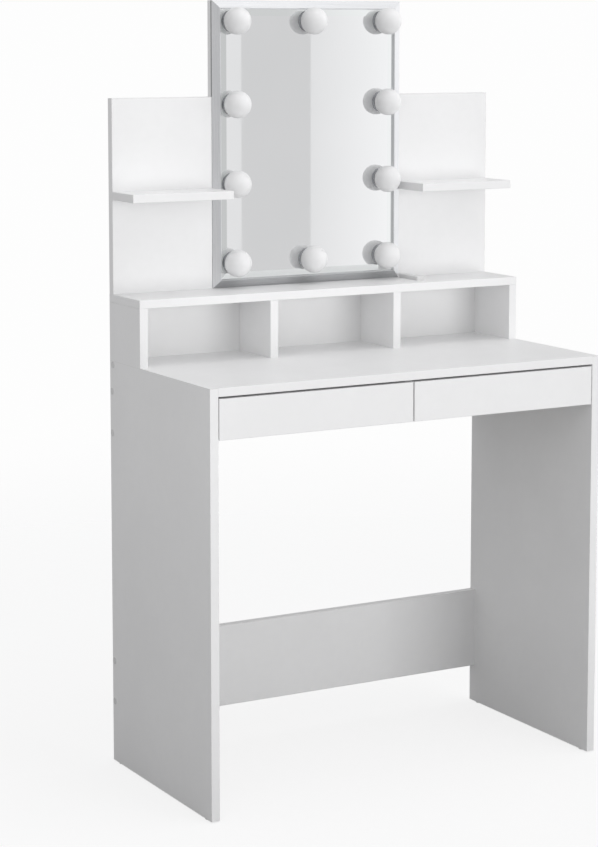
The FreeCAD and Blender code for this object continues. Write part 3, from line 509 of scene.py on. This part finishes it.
# painted shade: the bottom strip uses the same foil with every colour scaled to 0.70, darker as if in shadow
dress("mirror_frame_bottom", foil_material("silver_frame_foot_painted_shade", "x", 0.70))
dress("mirror_frame_left", foil_z)
dress("mirror_frame_right", foil_z)
dress("mirror_glass", mirror_material())
opal = opal_material()
base_metal = metal_material("lamp_base", (0.36, 0.37, 0.39), (0.46, 0.47, 0.49), (0.20, 0.30), 500.0, metallic=0.9, bump=0.05)
brass = metal_material("brass_fittings", (0.66, 0.50, 0.24), (0.80, 0.64, 0.34), (0.20, 0.34), 600.0)
zinc = metal_material("zinc_steel", (0.52, 0.54, 0.57), (0.68, 0.70, 0.73), (0.24, 0.40), 800.0, spangle=420.0)
dress("lamp_stems", brass)
dress("lamp_nuts", brass)
for n in ("cam_bolts", "cam_lock_discs", "confirmat_screws", "runner_screws", "left_drawer_screws", "right_drawer_screws"):
    dress(n, zinc)
white_pl = plastic_material("white_plastic", (0.745, 0.745, 0.745), strength=0.14)
gloss_pl = plastic_material("white_plastic_gloss", (0.78, 0.78, 0.78), rough=(0.18, 0.26), strength=0.05, coat=0.3)
cap_pl = plastic_material("cap_plastic", (0.70, 0.70, 0.70), rough=(0.36, 0.46), strength=0.12)
black_pl = plastic_material("black_plastic", (0.035, 0.035, 0.037), strength=0.25)
dress("dimmer_base", white_pl)
dress("dimmer_cover", white_pl)
dress("dimmer_button", gloss_pl)
dress("screw_caps", cap_pl)
dress("floor_glides", plastic_material("glide_plastic", (0.72, 0.72, 0.70), rough=(0.4, 0.5), strength=0.2))
dress("power_inlet", black_pl)
pw = powder_material()
for n in ("cabinet_runners_left", "cabinet_runners_right", "left_drawer_runners", "right_drawer_runners"):
    dress(n, pw)
ny_mat = nylon_material()
for n in ("cabinet_rollers_left", "cabinet_rollers_right", "left_drawer_rollers", "right_drawer_rollers"):
    dress(n, ny_mat)
dress("wooden_dowels", beech_material())
solder = board_solder_material()
dress("lamp_led_boards", solder)
dress("dimmer_circuit_board", solder)
dress("lamp_wiring", wire_material())


# ------------------------------------------------------------------- lamps
def lathe(profile, segments, centre, closed=True):
    """Ring mesh turned about the Y axis through centre.
    profile: (radius, y) pairs; closed joins the last ring to the first."""
    bm = bmesh.new()
    rings = []
    for r, y in profile:
        if r < 1e-7:
            rings.append([bm.verts.new((centre[0], y, centre[1]))])
            continue
        ring = []
        for k in range(segments):
            a = 2 * math.pi * k / segments
            ring.append(bm.verts.new((centre[0] + r * math.cos(a), y, centre[1] + r * math.sin(a))))
        rings.append(ring)
    pairs = list(zip(rings, rings[1:]))
    if closed:
        pairs.append((rings[-1], rings[0]))
    for a, b in pairs:
        if len(a) == 1 and len(b) == 1:
            continue
        for k in range(segments):
            j = (k + 1) % segments
            if len(a) == 1:
                bm.faces.new((a[0], b[j], b[k]))
            elif len(b) == 1:
                bm.faces.new((a[k], a[j], b[0]))
            else:
                bm.faces.new((a[k], a[j], b[j], b[k]))
    return bm


def arc(cr, cy, r, a0, a1, n):
    """Points on a circle in the (radius, y) plane, angles in degrees."""
    return [(cr + r * math.cos(math.radians(a0 + (a1 - a0) * k / n)),
             cy + r * math.sin(math.radians(a0 + (a1 - a0) * k / n))) for k in range(n + 1)]


def join(name, bms, mat, smooth_angle=35.0):
    whole = bmesh.new()
    for bm in bms:
        me = bpy.data.meshes.new("tmp")
        bm.to_mesh(me)
        bm.free()
        whole.from_mesh(me)
        bpy.data.meshes.remove(me)
    bmesh.ops.recalc_face_normals(whole, faces=whole.faces)
    me = bpy.data.meshes.new(name)
    whole.to_mesh(me)
    whole.free()
    me.materials.append(mat)
    for p in me.polygons:
        p.use_smooth = True
    me.set_sharp_from_angle(angle=math.radians(smooth_angle))
    o = bpy.data.objects.new(name, me)
    scene.collection.objects.link(o)
    return o


LAMPS = [(-0.160, 0.910), (-0.160, 1.055), (-0.160, 1.200), (-0.160, 1.351),
         (0.160, 0.910), (0.160, 1.055), (0.160, 1.200), (0.160, 1.351),
         (0.0, 0.910), (0.0, 1.351)]
lo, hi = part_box("lamp_globes")
GLOBE_R = 0.025
GLOBE_Y = lo[1] + GLOBE_R
NECK_Y = hi[1]
blo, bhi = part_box("lamp_bases")
GLASS_Y = bhi[1]


def globe_profile():
    """Outer skin from the neck to the pole, then the inner skin back."""
    out = []
    a_neck = math.degrees(math.asin((NECK_Y - GLOBE_Y) / GLOBE_R))
    for k in range(33):
        a = a_neck + (-90.0 - a_neck) * k / 32
        out.append((GLOBE_R * math.cos(math.radians(a)), GLOBE_Y + GLOBE_R * math.sin(math.radians(a))))
    out[-1] = (0.0, GLOBE_Y - GLOBE_R)
    ri = GLOBE_R - 0.0015
    inner = []
    a_in = math.degrees(math.asin((NECK_Y - GLOBE_Y) / ri))
    for k in range(25):
        a = -90.0 + (a_in + 90.0) * k / 24
        inner.append((ri * math.cos(math.radians(a)), GLOBE_Y + ri * math.sin(math.radians(a))))
    inner[0] = (0.0, GLOBE_Y - ri)
    return out, inner


outer, inner = globe_profile()
globes = []
for c in LAMPS:
    # one closed shell: outer skin, neck lip, inner skin
    bm = bmesh.new()
    seg = 64

    def ring(r, y):
        if r < 1e-7:
            return [bm.verts.new((c[0], y, c[1]))]
        return [bm.verts.new((c[0] + r * math.cos(2 * math.pi * k / seg), y,
                              c[1] + r * math.sin(2 * math.pi * k / seg))) for k in range(seg)]
    ro = [ring(*q) for q in outer]
    ri_ = [ring(*q) for q in inner]
    chains = [ro, ri_, [ri_[-1], ro[0]]]
    for ch in chains:
        for a, b in zip(ch, ch[1:]):
            for k in range(seg):
                j = (k + 1) % seg
                if len(a) == 1:
                    bm.faces.new((a[0], b[j], b[k]))
                elif len(b) == 1:
                    bm.faces.new((a[k], a[j], b[0]))
                else:
                    bm.faces.new((a[k], a[j], b[j], b[k]))
    globes.append(bm)
globe_obj = join("lamp_globe_shells", globes, opal, 60.0)
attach(globe_obj, "cabinet")
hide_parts("lamp_globes")

BASE_R = (bhi[0] - blo[0]) / 2 - 0.160
y0 = blo[1]
bases = []
for c in LAMPS:
    prof = []
    prof += [(0.0042, GLASS_Y), (BASE_R - 0.0003, GLASS_Y)]
    prof += [(BASE_R, GLASS_Y - 0.0003), (BASE_R, GLASS_Y - 0.0012)]
    # turned bead and neck under the rolled rim
    prof += [(BASE_R - 0.0005, GLASS_Y - 0.0015), (BASE_R - 0.0005, GLASS_Y - 0.0020), (BASE_R, GLASS_Y - 0.0023)]
    prof += arc(BASE_R - 0.0009, y0 + 0.0009, 0.0009, 0.0, -90.0, 6)
    prof += [(0.0165, y0 + 0.00005), (0.0073, y0 + 0.00005), (0.0073, y0 + 0.00105), (0.0042, y0 + 0.00105)]
    bases.append(lathe(prof, 64, c))
base_obj = join("lamp_base_cups", bases, base_metal, 28.0)
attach(base_obj, "cabinet")
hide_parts("lamp_bases")


# ------------------------------------------------------- floor and lights
def build_floor():
    size = 14.0
    bm = bmesh.new()
    n = 8
    vs = [[bm.verts.new(((i / n - 0.5) * size, (j / n - 0.5) * size, -0.0002)) for j in range(n + 1)] for i in range(n + 1)]
    for i in range(n):
        for j in range(n):
            bm.faces.new((vs[i][j], vs[i + 1][j], vs[i + 1][j + 1], vs[i][j + 1]))
    me = bpy.data.meshes.new("floor")
    bm.to_mesh(me)
    bm.free()
    o = bpy.data.objects.new("floor", me)
    scene.collection.objects.link(o)
    m = bpy.data.materials.new("look_floor")
    m.use_nodes = True
    t = Tree(m.node_tree)
    out = t.add("ShaderNodeOutputMaterial")
    tc = t.add("ShaderNodeTexCoord")
    x, y, z = xyz(t, tc.outputs["Object"])
    d = t.math("SQRT", t.math("ADD", t.math("MULTIPLY", x, x), t.math("MULTIPLY", y, y)))
    lp = t.add("ShaderNodeLightPath")
    em = t.add("ShaderNodeEmission")
    em.inputs["Color"].default_value = (1.0, 1.0, 1.0, 1.0)
    em.inputs["Strength"].default_value = FLOOR_EMIT
    df = t.add("ShaderNodeBsdfDiffuse")
    df.inputs["Color"].default_value = (0.93, 0.93, 0.935, 1.0)
    df2 = t.add("ShaderNodeBsdfDiffuse")
    df2.inputs["Color"].default_value = (FLOOR_BOUNCE,) * 3 + (1.0,)
    mx = t.add("ShaderNodeMixShader")
    mx.inputs[0].default_value = FLOOR_SHADE
    t.link(em.outputs[0], mx.inputs[1])
    t.link(df.outputs[0], mx.inputs[2])
    pick = t.add("ShaderNodeMixShader")
    t.link(lp.outputs["Is Camera Ray"], pick.inputs[0])
    t.link(df2.outputs[0], pick.inputs[1])
    t.link(mx.outputs[0], pick.inputs[2])
    clear = t.add("ShaderNodeBsdfTransparent")
    fade = t.add("ShaderNodeMixShader")
    t.link(t.ramp(d, 1.1, 3.6), fade.inputs[0])
    t.link(pick.outputs[0], fade.inputs[1])
    t.link(clear.outputs[0], fade.inputs[2])
    # one-sided, so that the underside of the piece can be seen from below
    geo = t.add("ShaderNodeNewGeometry")
    side = t.add("ShaderNodeMixShader")
    t.link(geo.outputs["Backfacing"], side.inputs[0])
    t.link(fade.outputs[0], side.inputs[1])
    t.link(clear.outputs[0], side.inputs[2])
    t.link(side.outputs[0], out.inputs["Surface"])
    me.materials.append(m)
    return o


FLOOR_EMIT = 1.0
FLOOR_SHADE = 0.22
FLOOR_BOUNCE = 0.45
WORLD_SEEN = 0.985
AMBIENT = 0.545
CEILING = 0.74
PANELS = [(2.0, 12.0, 0.045), (21.0, 0.3, 0.19), (28.03, 0.02, -0.135), (29.75, 0.02, 0.135),
          (29.8, 2.0, 0.15), (60.0, 20.0, 0.16), (112.0, 30.0, -0.52)]
build_floor()


def build_world():
    """Pale studio: white where the camera looks, soft grey-white walls that
    light the piece, with the brighter and dimmer wall panels in front of it
    that a mirror would show."""
    w = bpy.data.worlds.new("studio")
    scene.world = w
    w.use_nodes = True
    t = Tree(w.node_tree)
    out = t.add("ShaderNodeOutputWorld")
    tc = t.add("ShaderNodeTexCoord")
    x, y, z = xyz(t, tc.outputs["Generated"])
    az = t.math("MULTIPLY", t.math("ARCTAN2", x, t.math("MULTIPLY", y, -1.0)), 180.0 / math.pi)
    # wall panels across the front of the room: (azimuth where it begins,
    # width over which it changes, change of brightness)
    level = AMBIENT
    for start, width, change in PANELS:
        level = t.math("ADD", level, t.ramp(az, start, start + width, 0.0, change, "LINEAR"))
    # keep the panels near eye level, plain ambient above and below
    near = t.math("MULTIPLY", t.ramp(z, -0.62, -0.42), t.ramp(z, 0.60, 0.40))
    up = t.ramp(z, -0.6, 0.9, AMBIENT * 0.95, AMBIENT * 1.06)
    # a brighter ceiling panel in front of the piece and to its right
    cz = t.math("MULTIPLY", t.ramp(z, 0.62, 0.70), t.ramp(z, 0.95, 0.89))
    ca = t.math("MULTIPLY", t.ramp(az, 5.0, 20.0), t.ramp(az, 85.0, 70.0))
    up = t.math("ADD", up, t.math("MULTIPLY", t.math("MULTIPLY", cz, ca), CEILING))
    mixed = t.math("ADD", t.math("MULTIPLY", near, level),
                   t.math("MULTIPLY", t.math("SUBTRACT", 1.0, near), up))
    comb = t.add("ShaderNodeCombineXYZ")
    t.link(mixed, comb.inputs[0])
    t.link(mixed, comb.inputs[1])
    t.link(t.math("MULTIPLY", mixed, 1.008), comb.inputs[2])
    room = comb.outputs[0]
    lp = t.add("ShaderNodeLightPath")
    seen = t.mix(lp.outputs["Is Camera Ray"], room, (WORLD_SEEN,) * 3)
    bg = t.add("ShaderNodeBackground")
    t.link(seen, bg.inputs["Color"])
    bg.inputs["Strength"].default_value = 1.0
    t.link(bg.outputs[0], out.inputs["Surface"])


build_world()


def area(name, loc, target, size, power, size_y=None, glossy=False):
    d = bpy.data.lights.new(name, "AREA")
    d.shape = "RECTANGLE" if size_y else "SQUARE"
    d.size = size
    if size_y:
        d.size_y = size_y
    d.energy = power
    d.color = (1.0, 1.0, 1.0)
    o = bpy.data.objects.new(name, d)
    scene.collection.objects.link(o)
    o.location = loc
    o.rotation_mode = "QUATERNION"
    o.rotation_quaternion = (Vector(target) - Vector(loc)).to_track_quat("-Z", "Y")
    o.visible_camera = False
    o.visible_glossy = glossy
    return o


area("key", (2.3, -6.6, 0.75), (0.0, 0.0, 0.55), 3.2, 153.0)
area("top", (0.35, -0.35, 4.4), (0.0, -0.10, 0.75), 2.2, 28.0)
area("fill", (-1.35, -1.20, 1.25), (-0.2, 0.0, 0.60), 0.9, 3.2)
scene.cycles.diffuse_bounces = 8
